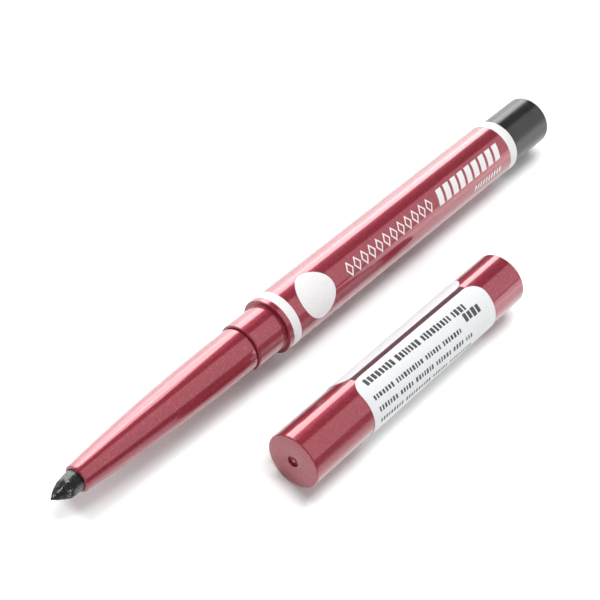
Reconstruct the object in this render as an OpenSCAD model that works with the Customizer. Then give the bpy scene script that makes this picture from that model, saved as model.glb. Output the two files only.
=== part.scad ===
// Twist-up eyeliner pencil with its cap taken off and laid beside it.
// The pencil lies along X with its point towards -X, on the plane z = 0.
// Every station s is a distance in mm behind the front face of the barrel.

/* [Barrel] */
// Outside diameter of the barrel, and of the cap that continues it
barrel_d = 10.2; // [10:0.1:11.5]
// Wall of the barrel
barrel_wall = 1.0; // [0.9:0.02:1.04]
// Length of the barrel between its two end faces
barrel_len = 66.5; // [62:0.5:85]
// Radius on the outer edges of the barrel
barrel_edge_r = 0.15; // [0.05:0.05:0.3]

/* [Printed bands and oval] */
// Thickness of the white print
print_t = 0.02; // [0.01:0.01:0.05]
// Width of the white band near the front of the barrel
front_band_w = 1.85; // [1:0.05:3]
// Bare strip between the front face and that band
front_band_from = 1.0; // [0.5:0.1:3]
// Width of the white band at the rear end of the barrel
rear_band_w = 2.2; // [1:0.05:4]
// Diameter of the round white field, as seen square on
oval_d = 7.95; // [5:0.05:8.5]
// Station of the middle of the white field
oval_at = 8.85; // [8:0.05:20]
// Turn of the white field from the top of the barrel
oval_turn = 22.5; // [0:0.5:60]

/* [Neck sleeve] */
// Diameter of the neck that the cap grips; it is a shoulder wider than the barrel's bore
neck_d = 8.6; // [8.4:0.05:8.8]
// Length of neck that stands out of the barrel
neck_len = 6.7; // [4:0.1:10]
// Length of the sleeve inside the barrel
neck_insert = 5.5; // [4:0.1:8]
// Wall of the sleeve round the nose cone
neck_wall = 0.5; // [0.4:0.05:0.6]
// Bevel on the front rim of the neck
neck_bevel = 0.25; // [0.1:0.05:0.4]
// Height of the small bead at the foot of the neck
neck_bead = 0.12; // [0.05:0.01:0.15]

/* [Nose cone] */
// Length of the cone that shows
nose_len = 37.3; // [32:0.1:45]
// Diameter at the foot of the cone
nose_base_d = 7.9; // [7.6:0.05:8.2]
// Diameter at the end of the cone
nose_tip_d = 4.7; // [4.6:0.05:5.4]
// How far the middle of the cone swells past a straight taper
nose_swell = 0.45; // [0.2:0.05:0.8]
// Bevel round the end of the cone
nose_bevel = 0.2; // [0.05:0.01:0.22]
// Width of the parting groove between cone and neck
part_groove = 0.3; // [0.1:0.05:0.6]
// Wall that the seat in the sleeve leaves behind the cone
nose_seat = 1.0; // [0.5:0.1:2]

/* [Lead] */
// Diameter of the lead
lead_d = 3.75; // [3.5:0.05:4]
// Length of the whole lead
lead_len = 40; // [34:0.5:42]
// Length of lead that stands out of the cone
lead_out = 5.2; // [3:0.1:8]
// Length of the pointed part
lead_point = 3.0; // [2:0.1:4.5]
// How far the middle of the point swells past a straight taper
lead_swell = 0.12; // [0.02:0.01:0.3]
// Diameter of the blunt end of the point
lead_tip_d = 0.3; // [0.1:0.1:1]
// Distance from the tip to the far edge of the worn flat
wear_from = 4.8; // [3.5:0.1:6]
// Slope of the worn flat against the axis
wear_slope = 14.5; // [8:0.5:20]
// Turn of the worn flat from the top, towards the far side
wear_turn = 70; // [0:5:180]

/* [Twist mechanism] */
// Travel of the lead from where it stands to used up
advance = 21.5; // [16:0.5:23]
// Travel of the lead from where it stands to fully retracted
retract = 6.5; // [4:0.5:8.5]
// Travel of the lead for one turn of the knob
screw_lead = 6; // [5.5:0.1:7]
// Share of the screw pitch taken by the groove
groove_share = 0.57; // [0.5:0.01:0.62]
// Depth of the screw groove
groove_depth = 0.45; // [0.4:0.05:0.55]
// Wall of the cup that holds the lead
cup_wall = 0.38; // [0.3:0.02:0.45]
// Depth of the cup that holds the lead
cup_depth = 5; // [3:0.5:6]
// Width of the slits that let the cup spring
slit_w = 0.4; // [0.2:0.1:0.8]
// Diameter of the rod between cup and tail
rod_d = 3.4; // [2.5:0.1:3.9]
// Length of the tail block that carries the lugs
tail_len = 3; // [2.4:0.2:5]
// Diameter of the two lugs
lug_d = 1.1; // [0.8:0.05:1.2]
// Wall of the slotted guide tube
guide_wall = 0.6; // [0.5:0.05:0.65]
// Length of the guide tube that sits in the cone
guide_seat = 6; // [4:0.5:8]
// Closed ring behind the slots of the guide tube
guide_ring = 3; // [1:0.5:4]

/* [End knob] */
// Diameter of the knob
knob_d = 9.55; // [9:0.05:9.8]
// Length of knob that shows
knob_len = 11.1; // [6:0.1:16]
// Radius on the far edge of the knob
knob_edge_r = 0.8; // [0.3:0.1:1.5]
// Length of the journal that runs in the barrel
journal_len = 8.5; // [7:0.5:10]
// Length of the spigot inside the spiral tube
spigot_len = 6; // [4:0.5:8]
// Height of the snap bead on the journal
snap_h = 0.15; // [0.1:0.01:0.2]
// Section diameter of the rubber friction ring
ring_d = 1; // [0.8:0.1:1.2]

/* [Cap] */
// Length of the cap
cap_len = 57.8; // [57:0.2:66]
// Thickness of the closed end
cap_end_wall = 2; // [1.2:0.1:3]
// Radius on the edge of the closed end
cap_edge_r = 0.25; // [0.1:0.05:0.5]
// Diameter of the moulding dimple in the closed end
dimple_d = 2; // [1:0.1:3]
// Depth of that dimple
dimple_depth = 0.5; // [0.2:0.05:0.8]
// Diameter of the gate mark in the dimple
pip_d = 0.8; // [0.4:0.1:0.9]
// Bevel inside the mouth of the cap
mouth_bevel = 0.3; // [0.2:0.05:0.4]

/* [Paper label] */
// Thickness of the paper
label_t = 0.1; // [0.05:0.01:0.2]
// Length of the label along the cap
label_len = 34.3; // [20:0.1:38]
// Distance from the closed end of the cap to the label
label_from = 14.7; // [5:0.1:18]
// Width of the bare strip between the label's two ends
label_gap = 0.9; // [0.4:0.05:3]
// Radius on the label's corners
label_corner_r = 3; // [0.5:0.1:4]
// Turn of the bare strip from the top, towards the pencil
label_turn = 25; // [0:1:90]
// Skew of the label on the cap, in degrees
label_skew = 1.5; // [-3:0.5:3]

/* [Lying place of the cap] */
// Clear space between barrel and cap
cap_beside = 9.5; // [5:0.1:25]
// Station of the cap's closed end
cap_from = -15.2; // [-40:0.2:20]

/* [Clearances] */
// Radial clearance of pieces that turn in each other
run_gap = 0.08; // [0.03:0.01:0.1]
// Radial clearance of pieces that slide in each other
slide_gap = 0.1; // [0.05:0.01:0.15]
// Radial clearance of pieces that are pressed or glued together
fit_gap = 0.02; // [0.01:0.01:0.04]
// Radial clearance of the cap on the neck
cap_gap = 0.05; // [0.03:0.01:0.08]
// Clearance round a lug in its groove and its slot
lug_gap = 0.15; // [0.1:0.01:0.2]
// Clearance at the ends of each travel, and where end faces pass
end_gap = 0.3; // [0.15:0.05:0.5]

/* [Hidden] */
$fn = 72;

// Radii, worked outwards from the lead
barrel_r = barrel_d / 2;
neck_r = neck_d / 2;
barrel_bore_r = barrel_r - barrel_wall;
insert_r = barrel_bore_r - fit_gap;
neck_bore_r = neck_r - neck_wall;
lead_r = lead_d / 2;
cup_r = lead_r + fit_gap + cup_wall;
guide_bore_r = cup_r + slide_gap;
guide_r = guide_bore_r + guide_wall;
spiral_bore_r = guide_r + run_gap;
groove_r = spiral_bore_r + groove_depth;
spiral_r = barrel_bore_r - run_gap;
lug_reach = groove_r - slide_gap;
knob_r = knob_d / 2;
cap_mouth_r = neck_r + cap_gap;
cap_bore_r = nose_base_d / 2 + 2 * slide_gap;

// Stations along the pencil
nose_foot = -neck_len - part_groove;
nose_end = nose_foot - nose_len;
tip = nose_end - lead_out;
lead_tail = tip + lead_len;
cup_front = lead_tail - cup_depth;
land_end = cup_front - advance - end_gap;
guide_front = -nose_seat - guide_seat;
spiral_front = neck_insert + end_gap;
slot_front = spiral_front + end_gap;
lug_at = slot_front + lug_d / 2 + end_gap + advance;
slot_end = lug_at + retract + lug_d / 2 + end_gap;
guide_end = slot_end + guide_ring;
journal_front = barrel_len - journal_len;
spigot_front = journal_front - spigot_len;
knob_face = barrel_len + end_gap / 2;
knob_end = knob_face + knob_len;

// The two threads of the screw share one lead, so each has half of it
pitch = screw_lead / 2;
groove_w = pitch * groove_share;
groove_arc = 360 * groove_w / screw_lead;
slot_w = lug_d + 2 * lug_gap;

// Friction ring and snap bead on the knob's journal, each at its share of the journal's length
ring_share = 0.3;
snap_share = 0.7;
ring_r = ring_d / 2;
ring_centre_r = barrel_bore_r - fit_gap - ring_r;
ring_at = journal_front + journal_len * ring_share;
ring_seat_w = ring_d + 2 * fit_gap;
snap_at = journal_front + journal_len * snap_share;
snap_w = 2;

// Place on the surface, with the origin under the middle of the whole
rest_h = barrel_r + print_t;
cap_h = barrel_r + label_t;
cap_y = -(2 * barrel_r + cap_beside);
x_low = min(tip, cap_from);
x_high = max(knob_end, cap_from + cap_len);
y_low = cap_y - barrel_r - label_t;
y_high = rest_h;
centre_x = (x_low + x_high) / 2;
centre_y = (y_low + y_high) / 2;

burgundy = "#A8475B";
pearl_white = "#F2F0EE";
gloss_black = "#1C1B1C";
charcoal = "#303030";
natural = "#E9E6DC";
rubber = "#3A3A3C";

// Puts a piece that is turned about the local Z onto the pencil's axis, local Z along +X
module on_pencil(s = 0)
    translate([s - centre_x, -centre_y, rest_h]) rotate([0, 90, 0]) children();

// The same for the cap's axis, measured from its closed end
module on_cap(s = 0)
    translate([cap_from + s - centre_x, cap_y - centre_y, cap_h]) rotate([0, 90, 0]) children();

// Ring section between two radii, from one station to another
module ring_section(r_in, r_out, from, to)
    translate([r_in, from]) square([r_out - r_in, to - from]);

// Cutter for a rounded corner of a section; at turn 0 the material lies below and left of the point
module round_corner(point, r, turn = 0)
    translate(point) rotate(turn) difference() {
        translate([-r, -r]) square(2 * r);
        translate([-r, -r]) circle(r);
    }

// Cutter for a bevelled corner of a section, with the same turns
module bevel_corner(point, w, turn = 0)
    translate(point) rotate(turn) polygon([[-2 * w, w], [w, w], [w, -2 * w]]);

// Section from the axis out to a taper that swells in its middle
module swelled_section(r_from, r_to, from, to, swell, steps = 16)
    polygon(concat([[0, from]],
        [for (i = [0 : steps]) let (t = i / steps)
            [r_from + (r_to - r_from) * t + 4 * swell * t * (1 - t), from + (to - from) * t]],
        [[0, to]]));

// Barrel: a plain tube with rounded edges and a groove for the knob's snap bead, with its white print
module barrel() {
    color(burgundy) on_pencil() rotate_extrude() difference() {
        ring_section(barrel_bore_r, barrel_r, 0, barrel_len);
        round_corner([barrel_r, 0], barrel_edge_r, -90);
        round_corner([barrel_r, barrel_len], barrel_edge_r);
        polygon([
            [barrel_bore_r - snap_h, snap_at - snap_w],
            [barrel_bore_r + snap_h, snap_at - snap_w / 2],
            [barrel_bore_r + snap_h, snap_at + snap_w / 2],
            [barrel_bore_r - snap_h, snap_at + snap_w]]);
    }
    color(pearl_white) on_pencil() print_on_barrel();
}

// White print: a band near each end and a round field on the side that faces the user
module print_on_barrel() {
    print_root_r = barrel_r - barrel_edge_r;
    rotate_extrude() {
        ring_section(print_root_r, rest_h, front_band_from, front_band_from + front_band_w);
        ring_section(print_root_r, rest_h, barrel_len - rear_band_w, barrel_len - barrel_edge_r);
    }
    intersection() {
        rotate_extrude() ring_section(print_root_r, rest_h, 0, 2 * oval_at);
        rotate([0, -90, oval_turn]) translate([oval_at, 0, 0]) cylinder(d = oval_d, h = barrel_d);
    }
}

// Neck sleeve: pressed into the barrel up to its shoulder, it holds the nose cone and is what the cap grips
module neck_sleeve() color(burgundy) on_pencil() rotate_extrude() difference() {
    union() {
        ring_section(guide_r + fit_gap, neck_r, -neck_len, 0);
        ring_section(guide_r + fit_gap, insert_r, -nose_seat, neck_insert);
        translate([neck_r, -neck_bead]) circle(neck_bead);
    }
    ring_section(0, neck_bore_r, -neck_len - 1, -nose_seat);
    bevel_corner([neck_r, -neck_len], neck_bevel, -90);
}

// Nose cone: swelled taper with a spigot for the sleeve, a close bore for the lead and a seat for the guide tube
module nose_cone() color(burgundy) on_pencil() rotate_extrude() difference() {
    union() {
        swelled_section(nose_tip_d / 2, nose_base_d / 2, nose_end, nose_foot, nose_swell);
        ring_section(0, neck_bore_r - fit_gap, nose_foot - 1, -nose_seat);
    }
    bevel_corner([nose_tip_d / 2, nose_end], nose_bevel, -90);
    ring_section(-1, lead_r + slide_gap, nose_end - 1, land_end + 1);
    ring_section(-1, guide_bore_r, land_end, guide_front + 1);
    ring_section(-1, guide_r + fit_gap, guide_front, 1);
}

// Guide tube: pressed into the cone, its two slots let the lugs slide but not turn
module guide_tube() color(natural) on_pencil() difference() {
    rotate_extrude() ring_section(guide_bore_r, guide_r, guide_front, guide_end);
    translate([-guide_r - 1, -slot_w / 2, slot_front]) cube([2 * guide_r + 2, slot_w, slot_end - slot_front]);
}

// Cross-section of the two screw grooves, two arcs on opposite sides that reach well into the bore
module groove_section(steps = 6) {
    root_r = spiral_bore_r - groove_depth;
    for (side = [0, 180]) rotate(side)
        polygon(concat(
            [for (i = [0 : steps]) let (a = groove_arc * (i / steps - 0.5)) groove_r * [cos(a), sin(a)]],
            [for (i = [0 : 2]) let (a = groove_arc * (0.5 - i / 2)) root_r * [cos(a), sin(a)]]));
}

// Spiral tube: turned by the knob, its two left-hand grooves drive the lugs along
module spiral_tube() {
    groove_from = spiral_front - end_gap;
    groove_len = guide_end - groove_from;
    turns = groove_len / screw_lead;
    color(natural) on_pencil() difference() {
        rotate_extrude() ring_section(spiral_bore_r, spiral_r, spiral_front, journal_front);
        translate([0, 0, groove_from]) rotate(360 * (lug_at - groove_from) / screw_lead)
            linear_extrude(height = groove_len, twist = 360 * turns, slices = ceil(turns * 16), segments = 10)
                groove_section();
    }
}

// Lead carrier: a sprung cup for the lead, a rod, and a tail with two lugs
module lead_carrier() {
    tail_front = lug_at - tail_len / 2;
    color(natural) on_pencil() {
        difference() {
            rotate_extrude() difference() {
                union() {
                    ring_section(0, cup_r, cup_front, lead_tail + 2 * cup_wall);
                    ring_section(0, rod_d / 2, lead_tail, lug_at);
                    ring_section(0, cup_r, tail_front, tail_front + tail_len);
                }
                ring_section(-1, lead_r + fit_gap, cup_front - 1, lead_tail);
            }
            for (turn = [0, 90]) rotate(turn)
                translate([-cup_r - 1, -slit_w / 2, cup_front - 1]) cube([2 * cup_r + 2, slit_w, cup_depth]);
        }
        translate([0, 0, lug_at]) rotate([0, 90, 0]) cylinder(d = lug_d, h = 2 * lug_reach, center = true);
    }
}

// Lead: a round stick with a blunt point, worn flat on one side
module lead() color(charcoal) on_pencil() difference() {
    rotate_extrude() union() {
        swelled_section(lead_tip_d / 2, lead_r, tip, tip + lead_point, lead_swell, 8);
        ring_section(0, lead_r, tip + lead_point, lead_tail);
    }
    rotate(180 - wear_turn) translate([lead_r, 0, tip + wear_from]) rotate([0, wear_slope, 0])
        translate([0, -lead_d, -2 * wear_from]) cube([lead_d, 2 * lead_d, 2 * wear_from]);
}

// End knob: the glossy end that is turned, with its journal, snap bead, ring seat and spigot
module end_knob() color(gloss_black) on_pencil() rotate_extrude() difference() {
    union() {
        ring_section(0, knob_r, knob_face, knob_end);
        ring_section(0, spiral_r, journal_front, knob_face + 1);
        ring_section(0, spiral_bore_r - fit_gap, spigot_front, journal_front + 1);
        polygon([
            [spiral_r - snap_h, snap_at - snap_w],
            [spiral_r + snap_h, snap_at - snap_w / 2 + run_gap],
            [spiral_r + snap_h, snap_at + snap_w / 2 - run_gap],
            [spiral_r - snap_h, snap_at + snap_w]]);
    }
    round_corner([knob_r, knob_end], knob_edge_r);
    round_corner([knob_r, knob_face], barrel_edge_r, -90);
    ring_section(ring_centre_r - ring_r - fit_gap, barrel_r, ring_at - ring_seat_w / 2, ring_at + ring_seat_w / 2);
}

// Friction ring: a rubber ring that gives the knob its smooth drag
module friction_ring() color(rubber) on_pencil(ring_at) rotate_extrude()
    translate([ring_centre_r, 0]) circle(ring_r);

// Cap: closed at one end, with a dimple and gate mark there and a grip bore at its mouth
module cap() color(burgundy) on_cap() rotate_extrude() difference() {
    grip_depth = neck_len + end_gap;
    ring_section(0, barrel_r, 0, cap_len);
    round_corner([barrel_r, 0], cap_edge_r, -90);
    round_corner([barrel_r, cap_len], barrel_edge_r);
    difference() {
        ring_section(-1, dimple_d / 2, -1, dimple_depth);
        ring_section(-1, pip_d / 2, dimple_depth / 2, dimple_depth);
    }
    ring_section(-1, cap_bore_r, cap_end_wall, cap_len);
    ring_section(-1, cap_mouth_r, cap_len - grip_depth, cap_len + 1);
    bevel_corner([cap_mouth_r, cap_len], mouth_bevel, 90);
}

// Bare strip between the label's ends, flared by the rounded corners at both edges
module label_gap_shape() {
    half_l = label_len / 2;
    square([label_gap, label_len + 2], center = true);
    for (side = [0, 1]) mirror([side, 0]) for (edge = [0, 1]) mirror([0, edge])
        difference() {
            translate([0, half_l - label_corner_r]) square([label_gap / 2 + label_corner_r, label_corner_r + 1]);
            translate([label_gap / 2 + label_corner_r, half_l - label_corner_r]) circle(label_corner_r);
        }
}

// Paper label: wrapped round the cap so that its rounded ends nearly meet
module cap_label() color(pearl_white) on_cap(label_from) difference() {
    rotate_extrude() ring_section(barrel_r, barrel_r + label_t, 0, label_len);
    rotate(180 - label_turn) translate([0, 0, label_len / 2]) rotate([label_skew, 0, 0])
        rotate([90, 0, 90]) linear_extrude(height = barrel_d) label_gap_shape();
}

barrel();
neck_sleeve();
nose_cone();
guide_tube();
spiral_tube();
lead_carrier();
lead();
end_knob();
friction_ring();
cap();
cap_label();
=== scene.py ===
import math
import random

import bmesh
import bpy
from mathutils import Matrix, Vector, noise


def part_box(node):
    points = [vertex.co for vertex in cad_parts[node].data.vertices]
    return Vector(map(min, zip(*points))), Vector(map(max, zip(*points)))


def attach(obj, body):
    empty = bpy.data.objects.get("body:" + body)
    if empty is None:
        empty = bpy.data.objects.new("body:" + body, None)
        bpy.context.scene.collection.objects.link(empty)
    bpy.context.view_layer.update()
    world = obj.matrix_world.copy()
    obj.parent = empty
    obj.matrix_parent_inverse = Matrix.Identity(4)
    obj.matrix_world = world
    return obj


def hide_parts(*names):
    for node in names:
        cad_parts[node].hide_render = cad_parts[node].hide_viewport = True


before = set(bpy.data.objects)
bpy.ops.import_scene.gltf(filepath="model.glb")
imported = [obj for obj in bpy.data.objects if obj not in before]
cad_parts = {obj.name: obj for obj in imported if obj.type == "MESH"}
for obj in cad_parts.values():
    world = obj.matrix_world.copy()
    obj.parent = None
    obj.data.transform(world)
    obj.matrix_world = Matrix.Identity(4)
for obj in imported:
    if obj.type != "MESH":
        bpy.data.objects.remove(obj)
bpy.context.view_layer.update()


# Barrel: the tube that the hand holds, moulded in ABS under a burgundy pearl
# lacquer. Its outer edges are lightly rounded, and a groove in its bore takes
# the knob's snap bead.
MM = 0.001
PRINT_THICKNESS = 0.02 * MM
BARREL_EDGE = 0.15 * MM
FIT_GAP = 0.02 * MM
RUN_GAP = 0.08 * MM
SNAP_FROM_REAR = 2.55 * MM
SNAP_HALF = 1.0 * MM
SNAP_FOOT = 1.5 * MM
SNAP_HEIGHT = 0.15 * MM
TURN_STEPS = 160
ROUNDING_STEPS = 4
MERGE_WITHIN = 0.001 * MM

barrel_low, barrel_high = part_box("barrel")
BARREL_FRONT, BARREL_REAR = barrel_low.x, barrel_high.x
BARREL_R = (barrel_high.y - barrel_low.y) / 2 - PRINT_THICKNESS
PENCIL_Y = (barrel_low.y + barrel_high.y) / 2
PENCIL_Z = (barrel_low.z + barrel_high.z) / 2
spiral_low, spiral_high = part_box("spiral_tube")
JOURNAL_R = (spiral_high.z - spiral_low.z) / 2
BARREL_BORE = JOURNAL_R + RUN_GAP
snap_middle = BARREL_REAR - SNAP_FROM_REAR


def put_in_scene(name, bm, sharp_above=35):
    """Makes an object of a bmesh, smooth but for edges that turn by more than sharp_above degrees."""
    mesh = bpy.data.meshes.new(name)
    bm.to_mesh(mesh)
    bm.free()
    mesh.shade_smooth()
    mesh.set_sharp_from_angle(angle=math.radians(sharp_above))
    piece = bpy.data.objects.new(name, mesh)
    bpy.context.scene.collection.objects.link(piece)
    return piece


def turned_skin(outline, centre_y, centre_z, closed=True):
    """Turns an outline of (station, radius, rounding) about the line through centre_y, centre_z."""
    bm = bmesh.new()
    corners = [bm.verts.new((x, centre_y, centre_z + r)) for x, r, _ in outline]
    for a, b in zip(corners, corners[1:] + corners[:1] if closed else corners[1:]):
        bm.edges.new((a, b))
    for corner, (_, _, rounding) in zip(corners, outline):
        if rounding:
            bmesh.ops.bevel(bm, geom=[corner], offset=rounding, offset_type="OFFSET",
                            segments=ROUNDING_STEPS, profile=0.5, affect="VERTICES", material=-1)
    bmesh.ops.spin(bm, geom=bm.verts[:] + bm.edges[:], cent=(0, centre_y, centre_z), axis=(1, 0, 0),
                   angle=math.tau, steps=TURN_STEPS, use_merge=True)
    bmesh.ops.remove_doubles(bm, verts=bm.verts[:], dist=MERGE_WITHIN)
    bmesh.ops.recalc_face_normals(bm, faces=bm.faces[:])
    return bm


def turned(name, outline, centre_y, centre_z, closed=True):
    """A turned piece, with its normals evened over the roundings."""
    piece = put_in_scene(name, turned_skin(outline, centre_y, centre_z, closed))
    piece.modifiers.new("even_normals", "WEIGHTED_NORMAL").keep_sharp = True
    return piece


def srgb(hex_colour):
    """An sRGB hex colour as the linear colour that a shader takes."""
    parts = [int(hex_colour[i:i + 2], 16) / 255 for i in (1, 3, 5)]
    return [c / 12.92 if c <= 0.04045 else ((c + 0.055) / 1.055) ** 2.4 for c in parts] + [1]


def add_node(material, kind, settings=(), stops=(), **links):
    """Adds a node; settings are its properties or inputs, stops a ramp's colours, links its sources."""
    node = material.node_tree.nodes.new(kind)
    for key, value in dict(settings).items():
        if isinstance(key, int) or key in node.inputs:
            node.inputs[key].default_value = value
        else:
            setattr(node, key, value)
    for i, (position, colour) in enumerate(stops):
        stop = node.color_ramp.elements[i] if i < 2 else node.color_ramp.elements.new(position)
        stop.position, stop.color = position, srgb(colour)
    for key, source in links.items():
        socket = node.inputs[int(key[2:])] if key.startswith("in") else node.inputs[key.replace("_", " ")]
        material.node_tree.links.new(source, socket)
    return node


def new_material(name):
    material = bpy.data.materials.new(name)
    material.use_nodes = True
    material.node_tree.nodes.clear()
    return material


def finish_material(material, surface):
    add_node(material, "ShaderNodeOutputMaterial", Surface=surface.outputs[0])
    return material


# Pearl lacquer on ABS: mica flakes in a burgundy coat give a metallic depth with
# a fine sparkle, and clear lacquer over them gives sharp reflections with a
# slight waver. Real flakes are under 0.1 mm and are drawn coarser, so as to show.
FLAKE = 0.16 * MM
FLAKE_TILT = 0.004 * MM
WAVER = 2.5 * MM
WAVER_DEPTH = 0.02 * MM


def pearl_lacquer():
    material = new_material("pearl_lacquer")
    place = add_node(material, "ShaderNodeTexCoord")
    flakes = add_node(material, "ShaderNodeTexVoronoi", {"Scale": 1 / FLAKE},
                      Vector=place.outputs["Object"])
    glint = add_node(material, "ShaderNodeSeparateColor", Color=flakes.outputs["Color"])
    tint = add_node(material, "ShaderNodeValToRGB", Fac=glint.outputs[0],
                    stops=((0.0, "#8C1A2E"), (0.85, "#9A2339"), (1.0, "#B23D53")))
    tilt = add_node(material, "ShaderNodeBump", {"Strength": 0.2, "Distance": FLAKE_TILT},
                    Height=glint.outputs[1])
    wave = add_node(material, "ShaderNodeTexNoise", {"Scale": 1 / WAVER, "Detail": 2},
                    Vector=place.outputs["Object"])
    clear = add_node(material, "ShaderNodeBump", {"Strength": 0.5, "Distance": WAVER_DEPTH},
                     Height=wave.outputs["Fac"])
    shader = add_node(material, "ShaderNodeBsdfPrincipled",
                      {"Metallic": 0.4, "Roughness": 0.3, "Coat Weight": 1.0, "Coat Roughness": 0.04,
                       "Coat IOR": 1.6},
                      Base_Color=tint.outputs["Color"], Normal=tilt.outputs["Normal"],
                      Coat_Normal=clear.outputs["Normal"])
    return finish_material(material, shader)


PEARL_LACQUER = pearl_lacquer()

barrel = turned("barrel_tube", [
    (BARREL_FRONT, BARREL_BORE, 0),
    (BARREL_FRONT, BARREL_R, BARREL_EDGE),
    (BARREL_REAR, BARREL_R, BARREL_EDGE),
    (BARREL_REAR, BARREL_BORE, 0),
    (snap_middle + SNAP_FOOT, BARREL_BORE, 0),
    (snap_middle + SNAP_HALF, BARREL_BORE + SNAP_HEIGHT, 0),
    (snap_middle - SNAP_HALF, BARREL_BORE + SNAP_HEIGHT, 0),
    (snap_middle - SNAP_FOOT, BARREL_BORE, 0)], PENCIL_Y, PENCIL_Z)
barrel.data.materials.append(PEARL_LACQUER)
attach(barrel, "body")
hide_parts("barrel")


# Print on the barrel: white ink, screen-printed 0.02 mm thick. A ring near each
# end, a round field on the side that faces the user, and a plain ornament of
# open lozenges, slanted bars and small bars along the barrel.
FRONT_RING = (1.03 * MM, 2.88 * MM)
REAR_RING = (64.3 * MM, 66.35 * MM)
FIELD_STATION = 8.85 * MM
FIELD_DIAMETER = 7.95 * MM
FIELD_TURN = math.radians(-22.5)
FIELD_CUTS = 72
WRAP_STEP = 0.25 * MM
CUT_WITHIN = 1e-7
INK_R = BARREL_R + PRINT_THICKNESS
INK_GRAIN = 0.3 * MM
ROW_TURN = math.radians(-24.5)
ROW_HEIGHT = 2.86 * MM
# Each row is its start, the pitch of its marks and their number.
LOZENGE_ROW = (16.3 * MM, 2.06 * MM, 12)
LOZENGE_LENGTH = 1.75 * MM
LOZENGE_LINE = 0.26 * MM
BAR_ROW = (42.4 * MM, 2.18 * MM, 9)
BAR_LENGTH = 1.5 * MM
SMALL_ROW = (52.5 * MM, 0.86 * MM, 10)
SMALL_ROW_TURN = math.radians(-63.0)
SMALL_BAR = (0.5 * MM, 1.0 * MM)
BAR_LEAN = 0.3


def wrap_round(bm, radius, centre_y, centre_z, start, turn):
    """Bends a flat sheet onto a tube: x runs along it from start, y round it from turn.

    Turn 0 is the top, and it grows towards +Y.
    """
    low = min(v.co.y for v in bm.verts)
    high = max(v.co.y for v in bm.verts)
    for i in range(1, int((high - low) / WRAP_STEP) + 1):
        bmesh.ops.bisect_plane(bm, geom=bm.verts[:] + bm.edges[:] + bm.faces[:], dist=CUT_WITHIN,
                               plane_co=(0, low + i * WRAP_STEP, 0), plane_no=(0, 1, 0))
    for v in bm.verts:
        angle = turn + v.co.y / radius
        out = radius + v.co.z
        v.co = Vector((start + v.co.x,
                       centre_y + out * math.sin(angle), centre_z + out * math.cos(angle)))


def thicken(bm, thickness):
    """Gives a bent sheet its thickness, inwards."""
    bmesh.ops.recalc_face_normals(bm, faces=bm.faces[:])
    bmesh.ops.solidify(bm, geom=bm.faces[:], thickness=thickness)


# Screen ink: an even, slightly grainy white with a soft shine.
def white_ink():
    material = new_material("white_screen_ink")
    place = add_node(material, "ShaderNodeTexCoord")
    grain = add_node(material, "ShaderNodeTexNoise", {"Scale": 1 / INK_GRAIN, "Detail": 3},
                     Vector=place.outputs["Object"])
    tint = add_node(material, "ShaderNodeValToRGB", Fac=grain.outputs["Fac"],
                    stops=((0.3, "#E9E7E8"), (0.7, "#F4F2F3")))
    shader = add_node(material, "ShaderNodeBsdfPrincipled", {"Roughness": 0.35, "IOR": 1.5},
                      Base_Color=tint.outputs["Color"])
    return finish_material(material, shader)


WHITE_INK = white_ink()

for name, (ring_from, ring_to) in (("front_ring", FRONT_RING), ("rear_ring", REAR_RING)):
    ring = turned(name, [
        (BARREL_FRONT + ring_from, BARREL_R - BARREL_EDGE, 0),
        (BARREL_FRONT + ring_from, INK_R, PRINT_THICKNESS),
        (BARREL_FRONT + ring_to, INK_R, PRINT_THICKNESS),
        (BARREL_FRONT + ring_to, BARREL_R - BARREL_EDGE, 0)], PENCIL_Y, PENCIL_Z)
    ring.data.materials.append(WHITE_INK)
    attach(ring, "body")

bm = bmesh.new()
bmesh.ops.create_grid(bm, x_segments=1, y_segments=1, size=FIELD_DIAMETER)
wrap_round(bm, INK_R, PENCIL_Y, PENCIL_Z, BARREL_FRONT + FIELD_STATION, FIELD_TURN)
facing = Vector((0, math.sin(FIELD_TURN), math.cos(FIELD_TURN)))
middle = Vector((BARREL_FRONT + FIELD_STATION, PENCIL_Y, PENCIL_Z))
for i in range(FIELD_CUTS):
    outward = Matrix.Rotation(math.tau * i / FIELD_CUTS, 3, facing) @ Vector((1, 0, 0))
    bmesh.ops.bisect_plane(bm, geom=bm.verts[:] + bm.edges[:] + bm.faces[:], dist=CUT_WITHIN,
                           clear_outer=True, plane_co=middle + outward * FIELD_DIAMETER / 2,
                           plane_no=outward)
thicken(bm, PRINT_THICKNESS)
field = put_in_scene("round_field", bm)
field.data.materials.append(WHITE_INK)
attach(field, "body")


def mark_place(x, y, length, height, lean=0.0):
    """Where a flat mark of unit size goes on the sheet before it is wrapped."""
    return Matrix(((length, lean * height, 0, x), (0, height, 0, y), (0, 0, 1, 0), (0, 0, 0, 1)))


def printed(name, bm, ink, radius, centre_y, centre_z, start, turn):
    """Wraps flat marks round a tube, as thin films of ink that ride with the pencil's body."""
    wrap_round(bm, radius, centre_y, centre_z, start, turn)
    thicken(bm, PRINT_THICKNESS / 2)
    marks = put_in_scene(name, bm)
    marks.data.materials.append(ink)
    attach(marks, "body")


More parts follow.
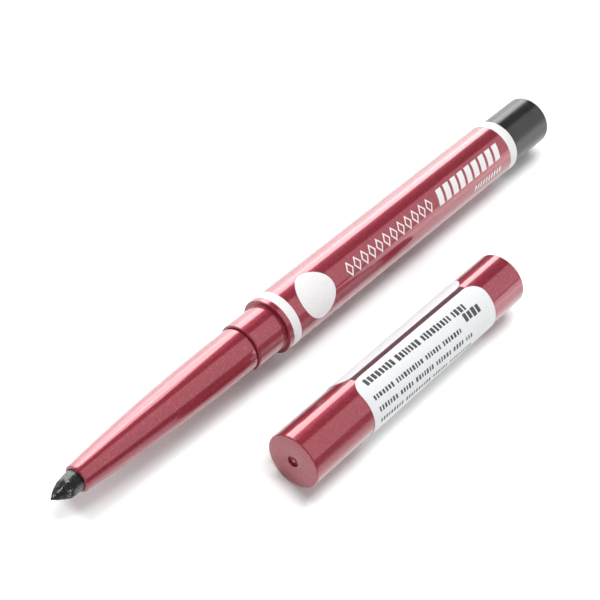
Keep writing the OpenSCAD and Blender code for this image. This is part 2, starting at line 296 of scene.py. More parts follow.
bm = bmesh.new()
row_from, row_pitch, row_count = LOZENGE_ROW
for i in range(row_count):
    place = mark_place(row_from + (i + 0.5) * row_pitch, 0, LOZENGE_LENGTH, ROW_HEIGHT)
    lozenge = bmesh.ops.create_circle(bm, cap_ends=True, segments=4, radius=0.5, matrix=place)
    middle_face = lozenge["verts"][0].link_faces[0]
    bmesh.ops.inset_individual(bm, faces=[middle_face], thickness=LOZENGE_LINE, use_even_offset=True)
    bmesh.ops.delete(bm, geom=[middle_face], context="FACES")
printed("lozenge_row", bm, WHITE_INK, INK_R, PENCIL_Y, PENCIL_Z, BARREL_FRONT, ROW_TURN)

bm = bmesh.new()
row_from, row_pitch, row_count = BAR_ROW
for i in range(row_count):
    place = mark_place(row_from + (i + 0.5) * row_pitch, 0, BAR_LENGTH, ROW_HEIGHT, BAR_LEAN)
    bmesh.ops.create_grid(bm, x_segments=1, y_segments=1, size=0.5, matrix=place)
printed("bar_row", bm, WHITE_INK, INK_R, PENCIL_Y, PENCIL_Z, BARREL_FRONT, ROW_TURN)

bm = bmesh.new()
row_from, row_pitch, row_count = SMALL_ROW
for i in range(row_count):
    place = mark_place(row_from + (i + 0.5) * row_pitch, 0, *SMALL_BAR, BAR_LEAN)
    bmesh.ops.create_grid(bm, x_segments=1, y_segments=1, size=0.5, matrix=place)
printed("small_row", bm, WHITE_INK, INK_R, PENCIL_Y, PENCIL_Z, BARREL_FRONT,
        SMALL_ROW_TURN)


# Neck sleeve: the plain neck that the cap slides over, moulded in the same ABS,
# lacquered and pressed into the barrel up to its shoulder, with a fine bead
# where it meets the barrel's face.
NECK_R = 4.3 * MM
NECK_LENGTH = 6.7 * MM
NECK_BORE = 3.8 * MM
NECK_BEVEL = 0.25 * MM
NECK_LIP = 0.05 * MM
NECK_BEAD = 0.12 * MM
BEAD_STEPS = 6
NECK_INSERT = 5.5 * MM
SEAT_WALL = 1.0 * MM
guide_low, guide_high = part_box("guide_tube")
GUIDE_R = (guide_high.z - guide_low.z) / 2
neck_front = BARREL_FRONT - NECK_LENGTH

neck = turned("neck_sleeve_visual", [
    (neck_front, NECK_BORE, NECK_LIP),
    (neck_front, NECK_R, NECK_BEVEL),
    (BARREL_FRONT - 2 * NECK_BEAD, NECK_R, 0),
    *[(BARREL_FRONT - NECK_BEAD * (1 + math.cos(math.pi * i / BEAD_STEPS)),
       NECK_R + NECK_BEAD * math.sin(math.pi * i / BEAD_STEPS), 0) for i in range(1, BEAD_STEPS)],
    (BARREL_FRONT, NECK_R, 0),
    (BARREL_FRONT, BARREL_BORE - FIT_GAP, 0),
    (BARREL_FRONT + NECK_INSERT, BARREL_BORE - FIT_GAP, 0),
    (BARREL_FRONT + NECK_INSERT, GUIDE_R + FIT_GAP, 0),
    (BARREL_FRONT - SEAT_WALL, GUIDE_R + FIT_GAP, 0),
    (BARREL_FRONT - SEAT_WALL, NECK_BORE, 0)], PENCIL_Y, PENCIL_Z)
neck.data.materials.append(PEARL_LACQUER)
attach(neck, "body")
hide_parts("neck_sleeve")


# Nose cone: the long swelled cone that guides the lead, a lacquered ABS moulding
# whose spigot sits in the neck sleeve. A narrow groove parts the two.
CONE_FOOT_R = 3.95 * MM
CONE_END_R = 2.35 * MM
CONE_SWELL = 0.45 * MM
CONE_EDGE = 0.2 * MM
CONE_FOOT_EDGE = 0.08 * MM
CONE_GROOVE = 0.3 * MM
LAND_LENGTH = 8.0 * MM
GUIDE_WALL = 0.6 * MM
LEAD_GAP = 0.1 * MM
CONE_STEPS = 32
cone_low, cone_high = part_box("nose_cone")
lead_low, lead_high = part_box("lead")
LEAD_R = (lead_high.z - lead_low.z) / 2
cone_end = cone_low.x
cone_foot = neck_front - CONE_GROOVE


def cone_radius(t):
    """The cone's radius at share t of its length, swelled by CONE_SWELL half way."""
    return CONE_END_R + (CONE_FOOT_R - CONE_END_R) * t + 4 * CONE_SWELL * t * (1 - t)


cone_side = [(cone_end + (cone_foot - cone_end) * i / CONE_STEPS, cone_radius(i / CONE_STEPS), 0)
             for i in range(1, CONE_STEPS)]
cone = turned("nose_cone_visual", [
    (cone_end, LEAD_R + LEAD_GAP, 0),
    (cone_end, CONE_END_R, CONE_EDGE), *cone_side,
    (cone_foot, CONE_FOOT_R, CONE_FOOT_EDGE),
    (cone_foot, NECK_BORE - FIT_GAP, 0),
    (cone_high.x, NECK_BORE - FIT_GAP, 0),
    (cone_high.x, GUIDE_R - GUIDE_WALL, 0),
    (cone_end + LAND_LENGTH, GUIDE_R - GUIDE_WALL, 0),
    (cone_end + LAND_LENGTH, LEAD_R + LEAD_GAP, 0)], PENCIL_Y, PENCIL_Z)
cone.data.materials.append(PEARL_LACQUER)
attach(cone, "body")
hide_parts("nose_cone")


# Lead: a stick of charcoal pigment in wax, cast, pointed and already used. Worn
# flats meet in a raised crest, with pale grains laid along it as painted glints;
# the rest is crumbly, and smoother near the nose, with a painted sheen there.
LEAD_POINT = 3.0 * MM
LEAD_SWELL = 0.12 * MM
LEAD_TIP_R = 0.15 * MM
POINT_STEPS = 40
SHANK_STEPS = 40
SHANK_STEP = 0.075 * MM
# Each flat is its turn from the top, its reach back from the tip and its slope.
WORN_FLATS = ((math.radians(70), 4.8 * MM, math.radians(14.5)),
              (math.radians(-28), 4.2 * MM, math.radians(11.0)),
              (math.radians(36), 7.2 * MM, math.radians(2.2)))
CRUMB_DEPTH = 0.12 * MM
CRUMB_SIZE = 0.3 * MM
CRUMB_FADE = 1.0 * MM
CRUMB_ROUGHNESS = 0.6
CRUMB_OCTAVES = 3
CREST_HALF = 0.3 * MM
CREST_LENGTH = 3.6 * MM
CREST_GLINT_RISE = 0.24
lead_tip, lead_tail = lead_low.x, lead_high.x
crumbs_end = lead_tip + LEAD_POINT + SHANK_STEP * SHANK_STEPS
crest_y = PENCIL_Y + 0.05 * MM


# Cosmetic wax with charcoal pigment: near black and matt where it is crumbly,
# with clusters of pale grains, thickest on the crest as painted glints; near the
# nose, on both sides of a crumbly ridge, smoother, with a lighter grey painted as sheen.
GRAIN = 0.2 * MM
LUMP = 0.4 * MM
LUMP_DEPTH = 0.12 * MM
PALE_FROM = 0.36
PALE_FULL = 0.4
SHEEN_AND_RUB_FROM = 2.9 * MM
SHEEN_AND_RUB_TO = 3.5 * MM
RIDGE_MIDDLE = 0.5 * MM
RIDGE_HALF = 0.7 * MM
RIDGE_FADE = 0.28 * MM


def wax_lead():
    material = new_material("charcoal_wax")
    place = add_node(material, "ShaderNodeTexCoord")
    axes = add_node(material, "ShaderNodeSeparateXYZ", Vector=place.outputs["Object"])
    lumps = add_node(material, "ShaderNodeTexNoise", {"Scale": 1 / LUMP, "Detail": 7, "Roughness": 0.75},
                     Vector=place.outputs["Object"])
    near_nose = add_node(material, "ShaderNodeMapRange",
                         {"From Min": lead_tip + SHEEN_AND_RUB_FROM, "From Max": lead_tip + SHEEN_AND_RUB_TO},
                         Value=axes.outputs["X"])
    aside = add_node(material, "ShaderNodeMath", {"operation": "SUBTRACT", 1: PENCIL_Y - RIDGE_MIDDLE},
                     in0=axes.outputs["Y"])
    aside = add_node(material, "ShaderNodeMath", {"operation": "ABSOLUTE"}, in0=aside.outputs[0])
    ragged = add_node(material, "ShaderNodeMapRange", {"To Min": -RIDGE_HALF, "To Max": RIDGE_HALF},
                      Value=lumps.outputs["Fac"])
    aside = add_node(material, "ShaderNodeMath", {"operation": "ADD"},
                     in0=aside.outputs[0], in1=ragged.outputs[0])
    off_ridge = add_node(material, "ShaderNodeMapRange",
                         {"From Min": RIDGE_HALF, "From Max": RIDGE_HALF + RIDGE_FADE},
                         Value=aside.outputs[0])
    rubbed_and_painted_sheen = add_node(material, "ShaderNodeMath", {"operation": "MULTIPLY"},
                      in0=near_nose.outputs[0], in1=off_ridge.outputs[0])
    crumbly = add_node(material, "ShaderNodeValToRGB", Fac=lumps.outputs["Fac"],
                       stops=((0.42, "#060607"), (0.58, "#1A1A1B"), (0.68, "#4A4A49")))
    grains = add_node(material, "ShaderNodeTexNoise", {"Scale": 1 / GRAIN, "Detail": 2},
                      Vector=place.outputs["Object"])
    cluster = add_node(material, "ShaderNodeTexNoise", {"Scale": 1 / (5 * GRAIN), "Detail": 2},
                       Vector=place.outputs["Object"])
    # Painted glints: pale grains laid thickest along the top of the crest.
    off_crest = add_node(material, "ShaderNodeMath", {"operation": "SUBTRACT", 1: crest_y},
                         in0=axes.outputs["Y"])
    off_crest = add_node(material, "ShaderNodeMath", {"operation": "ABSOLUTE"}, in0=off_crest.outputs[0])
    crest = add_node(material, "ShaderNodeMapRange",
                     {"From Min": CREST_HALF / 3, "From Max": CREST_HALF,
                      "To Min": CREST_GLINT_RISE, "To Max": 0.0}, Value=off_crest.outputs[0])
    crest_end = add_node(material, "ShaderNodeMapRange",
                         {"From Min": lead_tip + CREST_LENGTH - CREST_HALF,
                          "From Max": lead_tip + CREST_LENGTH,
                          "To Min": 1.0, "To Max": 0.0}, Value=axes.outputs["X"])
    crest = add_node(material, "ShaderNodeMath", {"operation": "MULTIPLY"},
                     in0=crest.outputs[0], in1=crest_end.outputs[0])
    pale = add_node(material, "ShaderNodeMath", {"operation": "ADD"},
                    in0=cluster.outputs["Fac"], in1=crest.outputs[0])
    pale = add_node(material, "ShaderNodeMath", {"operation": "MULTIPLY"},
                    in0=grains.outputs["Fac"], in1=pale.outputs[0])
    pale = add_node(material, "ShaderNodeMapRange", {"From Min": PALE_FROM, "From Max": PALE_FULL},
                    Value=pale.outputs[0])
    grainy = add_node(material, "ShaderNodeMix", {"data_type": "RGBA", 7: srgb("#A6A6A2")},
                      in0=pale.outputs[0], in6=crumbly.outputs["Color"])
    # Painted sheen: a lighter grey near the nose, where the wax is also smoother and less bumpy.
    tint = add_node(material, "ShaderNodeMix", {"data_type": "RGBA", 7: srgb("#626261")},
                    in0=rubbed_and_painted_sheen.outputs[0], in6=grainy.outputs[2])
    rough = add_node(material, "ShaderNodeMapRange", {"To Min": 0.55, "To Max": 0.22},
                     Value=rubbed_and_painted_sheen.outputs[0])
    relief = add_node(material, "ShaderNodeMapRange", {"To Min": 1.0, "To Max": 0.15},
                      Value=rubbed_and_painted_sheen.outputs[0])
    bump = add_node(material, "ShaderNodeBump", {"Distance": LUMP_DEPTH},
                    Strength=relief.outputs[0], Height=lumps.outputs["Fac"])
    shader = add_node(material, "ShaderNodeBsdfPrincipled", {"IOR": 1.45},
                      Roughness=rough.outputs["Result"], Base_Color=tint.outputs[2],
                      Normal=bump.outputs["Normal"])
    return finish_material(material, shader)


def lead_radius(t):
    """The point's radius at share t of its length, swelled by LEAD_SWELL half way."""
    return LEAD_TIP_R + (LEAD_R - LEAD_TIP_R) * t + 4 * LEAD_SWELL * t * (1 - t)


bm = turned_skin([
    (lead_tip, 0, 0),
    *[(lead_tip + LEAD_POINT * i / POINT_STEPS, lead_radius(i / POINT_STEPS), 0)
      for i in range(POINT_STEPS + 1)],
    *[(lead_tip + LEAD_POINT + SHANK_STEP * i, LEAD_R, 0) for i in range(1, SHANK_STEPS + 1)],
    (lead_tail, LEAD_R, 0),
    (lead_tail, 0, 0)], PENCIL_Y, PENCIL_Z, closed=False)
for v in bm.verts:
    for turn, reach, slope in WORN_FLATS:
        outward = Vector((0, math.sin(turn), math.cos(turn)))
        height = (v.co.y - PENCIL_Y) * outward.y + (v.co.z - PENCIL_Z) * outward.z
        flat = LEAD_R - (lead_tip + reach - v.co.x) * math.tan(slope)
        v.co -= outward * max(0, height - flat)
    inward = Vector((0, PENCIL_Y - v.co.y, PENCIL_Z - v.co.z))
    shown = min(1, max(0, (crumbs_end - v.co.x) / CRUMB_FADE))
    lump = 0.5 + 0.5 * noise.fractal(v.co / CRUMB_SIZE, CRUMB_ROUGHNESS, 2.0, CRUMB_OCTAVES)
    if v.co.z > PENCIL_Z and v.co.x < lead_tip + CREST_LENGTH:
        shown *= min(1, abs(v.co.y - crest_y) / CREST_HALF)
    if inward.length > LEAD_TIP_R:
        v.co += inward.normalized() * CRUMB_DEPTH * shown * min(1, max(0, lump))
lead = put_in_scene("lead_stick", bm, sharp_above=60)
lead.data.materials.append(wax_lead())
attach(lead, "carriage")
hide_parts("lead")


# Twist mechanism: inside the barrel, moulded in uncoloured acetal, the slotted
# guide tube, the spiral tube with its screw grooves and the carrier that holds
# the lead, and the rubber ring that gives the knob its drag.
ACETAL_CLOUD = 2.5 * MM
ACETAL_DEPTH = 0.5 * MM
RUBBER_BLOOM = 0.4 * MM


# Acetal as moulded: a milky off-white with a faint cloud and a waxy depth.
def acetal():
    material = new_material("natural_acetal")
    place = add_node(material, "ShaderNodeTexCoord")
    cloud = add_node(material, "ShaderNodeTexNoise", {"Scale": 1 / ACETAL_CLOUD, "Detail": 4},
                     Vector=place.outputs["Object"])
    tint = add_node(material, "ShaderNodeValToRGB", Fac=cloud.outputs["Fac"],
                    stops=((0.3, "#DEDACE"), (0.7, "#F0EEE6")))
    shader = add_node(material, "ShaderNodeBsdfPrincipled",
                      {"Roughness": 0.4, "IOR": 1.48, "Subsurface Weight": 0.1,
                       "Subsurface Scale": ACETAL_DEPTH},
                      Base_Color=tint.outputs["Color"])
    return finish_material(material, shader)


# Nitrile rubber: a dull dark grey with a slight bloom.
def ring_rubber():
    material = new_material("nitrile_rubber")
    place = add_node(material, "ShaderNodeTexCoord")
    bloom = add_node(material, "ShaderNodeTexNoise", {"Scale": 1 / RUBBER_BLOOM, "Detail": 4},
                     Vector=place.outputs["Object"])
    tint = add_node(material, "ShaderNodeValToRGB", Fac=bloom.outputs["Fac"],
                    stops=((0.3, "#262627"), (0.7, "#3E3E40")))
    shader = add_node(material, "ShaderNodeBsdfPrincipled", {"Roughness": 0.7, "IOR": 1.52},
                      Base_Color=tint.outputs["Color"])
    return finish_material(material, shader)


ACETAL = acetal()
for name, material in (("guide_tube", ACETAL), ("spiral_tube", ACETAL), ("lead_carrier", ACETAL),
                       ("friction_ring", ring_rubber())):
    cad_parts[name].material_slots[0].material = material


# End knob: the glossy black ABS end that is turned to drive the lead. Its
# journal runs in the barrel, with a snap bead and a seat for the rubber ring,
# and its spigot is pressed into the spiral tube.
KNOB_EDGE = 0.8 * MM
JOURNAL_LENGTH = 8.5 * MM
SPIGOT_R = GUIDE_R + RUN_GAP - FIT_GAP
KNOB_GAP = 0.15 * MM
HAZE = 1.5 * MM
RUB_MARK = 0.2 * MM
RUB_DEPTH = 0.005 * MM
knob_low, knob_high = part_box("end_knob")
ring_low, ring_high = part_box("friction_ring")
KNOB_R = (knob_high.z - knob_low.z) / 2
RING_SEAT_R = (ring_high.z - ring_low.z) / 2 - (ring_high.x - ring_low.x) - FIT_GAP
knob_face = BARREL_REAR + KNOB_GAP
journal_front = BARREL_REAR - JOURNAL_LENGTH


# ABS moulded in a polished tool: deep black gloss with a faint haze and the
# fine rub marks of a handled part.
def black_abs():
    material = new_material("black_abs")
    place = add_node(material, "ShaderNodeTexCoord")
    haze = add_node(material, "ShaderNodeTexNoise", {"Scale": 1 / HAZE, "Detail": 5},
                    Vector=place.outputs["Object"])
    rough = add_node(material, "ShaderNodeMapRange", {"To Min": 0.18, "To Max": 0.3},
                     Value=haze.outputs["Fac"])
    tint = add_node(material, "ShaderNodeValToRGB", Fac=haze.outputs["Fac"],
                    stops=((0.3, "#171718"), (0.7, "#242425")))
    rubs = add_node(material, "ShaderNodeTexNoise", {"Scale": 1 / RUB_MARK, "Detail": 2},
                    Vector=place.outputs["Object"])
    bump = add_node(material, "ShaderNodeBump", {"Strength": 0.15, "Distance": RUB_DEPTH},
                    Height=rubs.outputs["Fac"])
    shader = add_node(material, "ShaderNodeBsdfPrincipled", {"IOR": 1.56},
                      Roughness=rough.outputs["Result"], Base_Color=tint.outputs["Color"],
                      Normal=bump.outputs["Normal"])
    return finish_material(material, shader)


knob = turned("end_knob_visual", [
    (knob_low.x, 0, 0),
    (knob_low.x, SPIGOT_R, 0),
    (journal_front, SPIGOT_R, 0),
    (journal_front, JOURNAL_R, 0),
    (ring_low.x - FIT_GAP, JOURNAL_R, 0),
    (ring_low.x - FIT_GAP, RING_SEAT_R, 0),
    (ring_high.x + FIT_GAP, RING_SEAT_R, 0),
    (ring_high.x + FIT_GAP, JOURNAL_R, 0),
    (snap_middle - SNAP_FOOT, JOURNAL_R, 0),
    (snap_middle - SNAP_HALF + RUN_GAP, JOURNAL_R + SNAP_HEIGHT, 0),
    (snap_middle + SNAP_HALF - RUN_GAP, JOURNAL_R + SNAP_HEIGHT, 0),
    (snap_middle + SNAP_FOOT, JOURNAL_R, 0),
    (knob_face, JOURNAL_R, 0),
    (knob_face, KNOB_R, BARREL_EDGE),
    (knob_high.x, KNOB_R, KNOB_EDGE),
    (knob_high.x, 0, 0)], PENCIL_Y, PENCIL_Z, closed=False)
knob.data.materials.append(black_abs())
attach(knob, "knob")
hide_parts("end_knob")


# Cap: taken off and laid beside the pencil, a closed ABS tube in the same
# lacquer, with the moulding's dimple and gate mark in its end and a bored mouth.
CAP_EDGE = 0.25 * MM
CAP_END_WALL = 2.0 * MM
CAP_GRIP = 7.0 * MM
GRIP_GAP = 0.05 * MM
CONE_GAP = 0.2 * MM
CAP_MOUTH_R = NECK_R + GRIP_GAP
CAP_BORE = CONE_FOOT_R + CONE_GAP
MOUTH_BEVEL = 0.3 * MM
DIMPLE_R = 1.0 * MM
DIMPLE_DEPTH = 0.5 * MM
DIMPLE_EDGE = 0.12 * MM
DIMPLE_FLOOR_EDGE = 0.15 * MM
PIP_R = 0.4 * MM
PIP_TOP = 0.25 * MM
PIP_EDGE = 0.08 * MM
cap_low, cap_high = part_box("cap")
CAP_R = (cap_high.y - cap_low.y) / 2
CAP_Y = (cap_low.y + cap_high.y) / 2
CAP_Z = (cap_low.z + cap_high.z) / 2

cap = turned("cap_shell", [
    (cap_low.x + PIP_TOP, 0, 0),
    (cap_low.x + PIP_TOP, PIP_R, PIP_EDGE),
    (cap_low.x + DIMPLE_DEPTH, PIP_R, PIP_EDGE),
    (cap_low.x + DIMPLE_DEPTH, DIMPLE_R, DIMPLE_FLOOR_EDGE),
    (cap_low.x, DIMPLE_R, DIMPLE_EDGE),
    (cap_low.x, CAP_R, CAP_EDGE),
    (cap_high.x, CAP_R, BARREL_EDGE),
    (cap_high.x, CAP_MOUTH_R, MOUTH_BEVEL),
    (cap_high.x - CAP_GRIP, CAP_MOUTH_R, 0),
    (cap_high.x - CAP_GRIP, CAP_BORE, 0),
    (cap_low.x + CAP_END_WALL, CAP_BORE, 0),
    (cap_low.x + CAP_END_WALL, 0, 0)], CAP_Y, CAP_Z, closed=False)
cap.data.materials.append(PEARL_LACQUER)
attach(cap, "body")
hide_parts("cap")


# Cap label: coated white paper with rounded corners, wrapped round the cap a
# little askew, so that its two ends nearly meet. Its print is rows of plain
# blocks, with four larger ones at the end of the first.
LABEL_THICKNESS = 0.1 * MM
LABEL_INK = 0.005 * MM
LABEL_GAP = 1.05 * MM
LABEL_CORNER = 3.0 * MM
LABEL_TURN = math.radians(34)
LABEL_SHIFT = -0.15 * MM
LABEL_SKEW = math.radians(-0.9)
LABEL_STEP = 0.5 * MM
PAPER_FIBRE = 0.25 * MM
BLOCK_GRAIN = 0.2 * MM
CORNER_STEPS = 8
ROW_SKEW = math.tan(math.radians(-2.8))
BLOCK_GAP = 0.3 * MM
WORD_GAP = 0.85 * MM
BLOCK_SEED = 11
FIRST_WORD = (5, 9)
NEXT_WORD = (4, 10)
LENGTH_SPREAD = (0.75, 1.2)
HEIGHT_SPREAD = (0.8, 1.0)
# Each row is its turn in degrees, its start and end, and its blocks' height and length.
BLOCK_ROWS = ((13.5, 2.4 * MM, 28.6 * MM, 1.4 * MM, 0.6 * MM),
              (-19.0, 1.7 * MM, 24.8 * MM, 0.95 * MM, 0.45 * MM),
              (-43.0, 1.7 * MM, 27.3 * MM, 1.0 * MM, 0.45 * MM),
              (-67.0, 1.6 * MM, 27.8 * MM, 0.95 * MM, 0.4 * MM),
              (-5.0, 26.8 * MM, 31.2 * MM, 1.75 * MM, 0.95 * MM))
label_low, label_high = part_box("cap_label")
label_length = label_high.x - label_low.x
label_middle = (label_low.x + label_high.x) / 2 + LABEL_SHIFT
PAPER_R = CAP_R + LABEL_THICKNESS - LABEL_INK
label_width = math.tau * PAPER_R - LABEL_GAP


# Coated paper: a smooth bright white with a trace of fibre and a soft shine.
def label_paper():
    material = new_material("coated_paper")
    place = add_node(material, "ShaderNodeTexCoord")
    fibres = add_node(material, "ShaderNodeTexNoise", {"Scale": 1 / PAPER_FIBRE, "Detail": 5},
                      Vector=place.outputs["Object"])
    tint = add_node(material, "ShaderNodeValToRGB", Fac=fibres.outputs["Fac"],
                    stops=((0.3, "#E8EAEC"), (0.7, "#F3F4F6")))
    shader = add_node(material, "ShaderNodeBsdfPrincipled", {"Roughness": 0.4, "IOR": 1.48},
                      Base_Color=tint.outputs["Color"])
    return finish_material(material, shader)


# Offset ink on the paper: charcoal, with the paper just showing through it.
def label_ink():
    material = new_material("charcoal_offset_ink")
    place = add_node(material, "ShaderNodeTexCoord")
    grain = add_node(material, "ShaderNodeTexNoise", {"Scale": 1 / BLOCK_GRAIN, "Detail": 4},
                     Vector=place.outputs["Object"])
    tint = add_node(material, "ShaderNodeValToRGB", Fac=grain.outputs["Fac"],
                    stops=((0.35, "#2C2C2F"), (0.7, "#5A5A5E")))
    shader = add_node(material, "ShaderNodeBsdfPrincipled", {"Roughness": 0.45, "IOR": 1.5},
                      Base_Color=tint.outputs["Color"])
    return finish_material(material, shader)


bm = bmesh.new()
bmesh.ops.create_grid(bm, x_segments=1, y_segments=1, size=0.5)
bmesh.ops.scale(bm, vec=(label_length, label_width, 1), verts=bm.verts[:])
bmesh.ops.bevel(bm, geom=bm.verts[:], offset=LABEL_CORNER, offset_type="OFFSET", segments=CORNER_STEPS,
                profile=0.5, affect="VERTICES", material=-1)
for i in range(1, int(label_length / LABEL_STEP)):
    bmesh.ops.bisect_plane(bm, geom=bm.verts[:] + bm.edges[:] + bm.faces[:], dist=CUT_WITHIN,
                           plane_co=(i * LABEL_STEP - label_length / 2, 0, 0), plane_no=(1, 0, 0))
bmesh.ops.rotate(bm, matrix=Matrix.Rotation(LABEL_SKEW, 3, "Z"), verts=bm.verts[:])
wrap_round(bm, PAPER_R, CAP_Y, CAP_Z, label_middle, LABEL_TURN + math.pi)
thicken(bm, LABEL_THICKNESS - LABEL_INK)
label = put_in_scene("wrap_label", bm)
label.data.materials.append(label_paper())
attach(label, "body")
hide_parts("cap_label")

draw = random.Random(BLOCK_SEED)
bm = bmesh.new()
for row_turn, row_from, row_to, block_height, block_length in BLOCK_ROWS:
    x = row_from
    y_row = math.radians(row_turn) * PAPER_R
    left_in_word = draw.randint(*FIRST_WORD)
    while x < row_to:
        length = block_length * draw.uniform(*LENGTH_SPREAD)
        height = block_height * draw.uniform(*HEIGHT_SPREAD)
        bmesh.ops.create_grid(bm, x_segments=1, y_segments=1, size=0.5,
                              matrix=mark_place(x + length / 2, y_row + ROW_SKEW * x, length, height))
        left_in_word -= 1
        x += length + (BLOCK_GAP if left_in_word else WORD_GAP)
        left_in_word = left_in_word or draw.randint(*NEXT_WORD)
wrap_round(bm, CAP_R + LABEL_THICKNESS - LABEL_INK / 2, CAP_Y, CAP_Z, label_low.x, 0)
thicken(bm, LABEL_INK / 2)
blocks = put_in_scene("label_blocks", bm)
blocks.data.materials.append(label_ink())
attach(blocks, "body")


# Seam shade: a dark matt strip laid in the gap between the label's two ends,
# as painted shade in the seam.
SEAM_SHADE_END = 2.0 * MM
SEAM_SHADE_WIDTH = 0.95 * MM
SEAM_SHADE_MOTTLE = 0.6 * MM


# A dull, dark burgundy film: painted shade in the seam between the label's ends.
def seam_shade_film():
    material = new_material("aged_adhesive")
    place = add_node(material, "ShaderNodeTexCoord")
    dust = add_node(material, "ShaderNodeTexNoise", {"Scale": 1 / SEAM_SHADE_MOTTLE, "Detail": 5},
                    Vector=place.outputs["Object"])
    tint = add_node(material, "ShaderNodeValToRGB", Fac=dust.outputs["Fac"],
                    stops=((0.3, "#3E1620"), (0.7, "#5A2430")))
    shader = add_node(material, "ShaderNodeBsdfPrincipled", {"Roughness": 0.65, "IOR": 1.45},
                      Base_Color=tint.outputs["Color"])
    return finish_material(material, shader)


bm = bmesh.new()
bmesh.ops.create_grid(bm, x_segments=1, y_segments=1, size=0.5,
                      matrix=mark_place(0, 0, label_length - 2 * SEAM_SHADE_END, SEAM_SHADE_WIDTH))
bmesh.ops.rotate(bm, matrix=Matrix.Rotation(LABEL_SKEW, 3, "Z"), verts=bm.verts[:])
printed("painted_seam_shade_strip", bm, seam_shade_film(), CAP_R + PRINT_THICKNESS, CAP_Y, CAP_Z, label_middle,
        LABEL_TURN)


# Table, lamps and camera: a white table, a large soft lamp overhead, a bright
# one on the far side whose top edge slopes down towards the knob, a weaker one
# above it for the cone, and the camera in front of the point.
FLOOR_SIZE = 6.0
SEEN_WHITE = 0.35
ROOM_LIGHT = 0.16
SWEEP_LIGHT = 0.6
SWEEP_FROM = math.sin(math.radians(3))
SWEEP_TO = math.sin(math.radians(10))
SHADE_HALF = 2.4 * MM
SHADE_FADE = 2.6 * MM
CAMERA_PLACE = Vector((-168.11, -41.14, 226.88)) * MM
CAMERA_AZIMUTH = -1.26614
CAMERA_ELEVATION = 0.91505
CAMERA_ROLL = 0.52060
CAMERA_LENS = 99.404
CAMERA_SENSOR = 36


# Satin white board: the camera and reflections also see a plain white added to
# it, but for a strip along the near side of the pencil and of the cap, so that
# the open table reads as white and the shadows keep their depth.
def white_table():
    material = new_material("white_table")
    paint = add_node(material, "ShaderNodeBsdfPrincipled",
                     {"Base Color": srgb("#F5F5F5"), "Roughness": 0.3, "IOR": 1.5})
    place = add_node(material, "ShaderNodeTexCoord")
    clear = None
    for low_x, high_x, resting_y in ((cone_low.x, knob_high.x, PENCIL_Y),
                                     (cap_low.x, cap_high.x, CAP_Y)):
        middle = ((low_x + high_x) / 2, resting_y - SHADE_HALF, 0)
        away = add_node(material, "ShaderNodeVectorMath", {"operation": "SUBTRACT", 1: middle},
                        in0=place.outputs["Object"])
        away = add_node(material, "ShaderNodeVectorMath", {"operation": "ABSOLUTE"}, in0=away.outputs[0])
        away = add_node(material, "ShaderNodeVectorMath",
                        {"operation": "SUBTRACT", 1: ((high_x - low_x) / 2, SHADE_HALF, 0)},
                        in0=away.outputs[0])
        away = add_node(material, "ShaderNodeSeparateXYZ", Vector=away.outputs[0])
        away = add_node(material, "ShaderNodeMath", {"operation": "MAXIMUM"},
                        in0=away.outputs["X"], in1=away.outputs["Y"])
        fade = add_node(material, "ShaderNodeMapRange",
                        {"interpolation_type": "SMOOTHSTEP", "From Min": 0.0, "From Max": SHADE_FADE,
                         "To Min": 0.0, "To Max": SEEN_WHITE}, Value=away.outputs[0])
        clear = fade if clear is None else add_node(material, "ShaderNodeMath", {"operation": "MINIMUM"},
                                                    in0=clear.outputs[0], in1=fade.outputs[0])
    path = add_node(material, "ShaderNodeLightPath")
    seen = add_node(material, "ShaderNodeMath", {"operation": "ADD"},
                    in0=path.outputs["Is Camera Ray"], in1=path.outputs["Is Glossy Ray"])
    seen = add_node(material, "ShaderNodeMath", {"operation": "ADD"},
                    in0=seen.outputs[0], in1=path.outputs["Is Transmission Ray"])
    share = add_node(material, "ShaderNodeMath", {"operation": "MULTIPLY"},
                     in0=seen.outputs[0], in1=clear.outputs[0])
    white = add_node(material, "ShaderNodeEmission", {"Color": srgb("#FFFFFF")},
                     Strength=share.outputs[0])
    surface = add_node(material, "ShaderNodeAddShader", in0=paint.outputs["BSDF"], in1=white.outputs[0])
    return finish_material(material, surface)


bm = bmesh.new()
bmesh.ops.create_grid(bm, x_segments=1, y_segments=1, size=FLOOR_SIZE / 2)
floor = put_in_scene("table_top", bm)
floor.data.materials.append(white_table())

# The room gives a plain white light, brighter just above the table, as from the
# curved sweep behind it.
world = bpy.data.worlds.new("studio")
bpy.context.scene.world = world
world.use_nodes = True
world.node_tree.nodes.clear()
sky_way = add_node(world, "ShaderNodeTexCoord")
sky_height = add_node(world, "ShaderNodeSeparateXYZ", Vector=sky_way.outputs["Generated"])
sweep = add_node(world, "ShaderNodeMapRange",
                 {"interpolation_type": "SMOOTHSTEP", "From Min": SWEEP_FROM, "From Max": SWEEP_TO,
                  "To Min": SWEEP_LIGHT, "To Max": ROOM_LIGHT}, Value=sky_height.outputs["Z"])
room = add_node(world, "ShaderNodeBackground", {"Color": srgb("#FFFFFF")}, Strength=sweep.outputs[0])
add_node(world, "ShaderNodeOutputWorld", Surface=room.outputs[0])


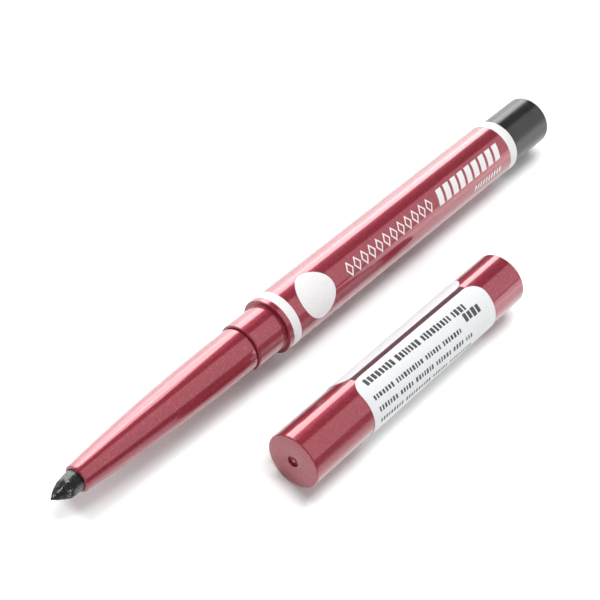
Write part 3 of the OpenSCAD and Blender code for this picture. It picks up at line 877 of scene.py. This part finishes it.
def soft_lamp(name, place, towards, width, height, watts, lights=True, shows=True, roll=0):
    """A soft box, in metres, watts and degrees.

    One that only shows is a card seen in the gloss; one that only lights stays out of the gloss.
    """
    lamp = bpy.data.lights.new(name, "AREA")
    lamp.shape = "RECTANGLE"
    lamp.size, lamp.size_y, lamp.energy = width, height, watts
    holder = bpy.data.objects.new(name, lamp)
    bpy.context.scene.collection.objects.link(holder)
    holder.location = place
    level = (Vector(towards) - Vector(place)).to_track_quat("-Z", "Y").to_matrix()
    holder.rotation_euler = (level @ Matrix.Rotation(math.radians(roll), 3, "Z")).to_euler()
    holder.visible_diffuse = lights
    holder.visible_glossy = shows


soft_lamp("key_lamp", (0.15, 0.26, 0.95), (0, 0, 0), 0.9, 0.42, 6.6, shows=False)
soft_lamp("near_side_fill", (0.0, -0.87, 0.5), (0, 0, 0), 1.2, 0.6, 3.8, shows=False)
soft_lamp("far_side_fill", (0.2, 0.9, 0.38), (0, 0, 0), 1.2, 0.5, 5.5, shows=False)
soft_lamp("front_fill", (-1.0, -0.15, 0.3), (0, 0, 0), 0.8, 0.4, 2.5, shows=False)
soft_lamp("overhead_card", (1.1, -0.5, 0.8), (1.1, -0.5, 0), 2.6, 1.4, 11.5, lights=False)
soft_lamp("far_side_card", (0.357, 0.846, 0.264), (-0.163, 0.116, 0.264), 1.0, 0.5, 7.9, lights=False,
          roll=30)
soft_lamp("point_side_card", (0.36, 0.87, 0.7), (-0.16, 0.14, 0.7), 0.42, 0.54, 3.3, lights=False)
soft_lamp("near_side_card", (0.843, -0.707, 0.21), (0, 0, 0.21), 0.43, 0.42, 1.1, lights=False)

back = Vector((math.sin(CAMERA_AZIMUTH) * math.cos(CAMERA_ELEVATION),
               -math.cos(CAMERA_AZIMUTH) * math.cos(CAMERA_ELEVATION),
               math.sin(CAMERA_ELEVATION)))
camera = bpy.data.objects.new("camera", bpy.data.cameras.new("camera"))
bpy.context.scene.collection.objects.link(camera)
camera.data.sensor_width = CAMERA_SENSOR
camera.data.lens = CAMERA_LENS
camera.location = CAMERA_PLACE
level = (-back).to_track_quat("-Z", "Y").to_matrix()
camera.rotation_euler = (level @ Matrix.Rotation(CAMERA_ROLL, 3, "Z")).to_euler()
bpy.context.scene.camera = camera
bpy.context.scene.view_settings.view_transform = "Standard"
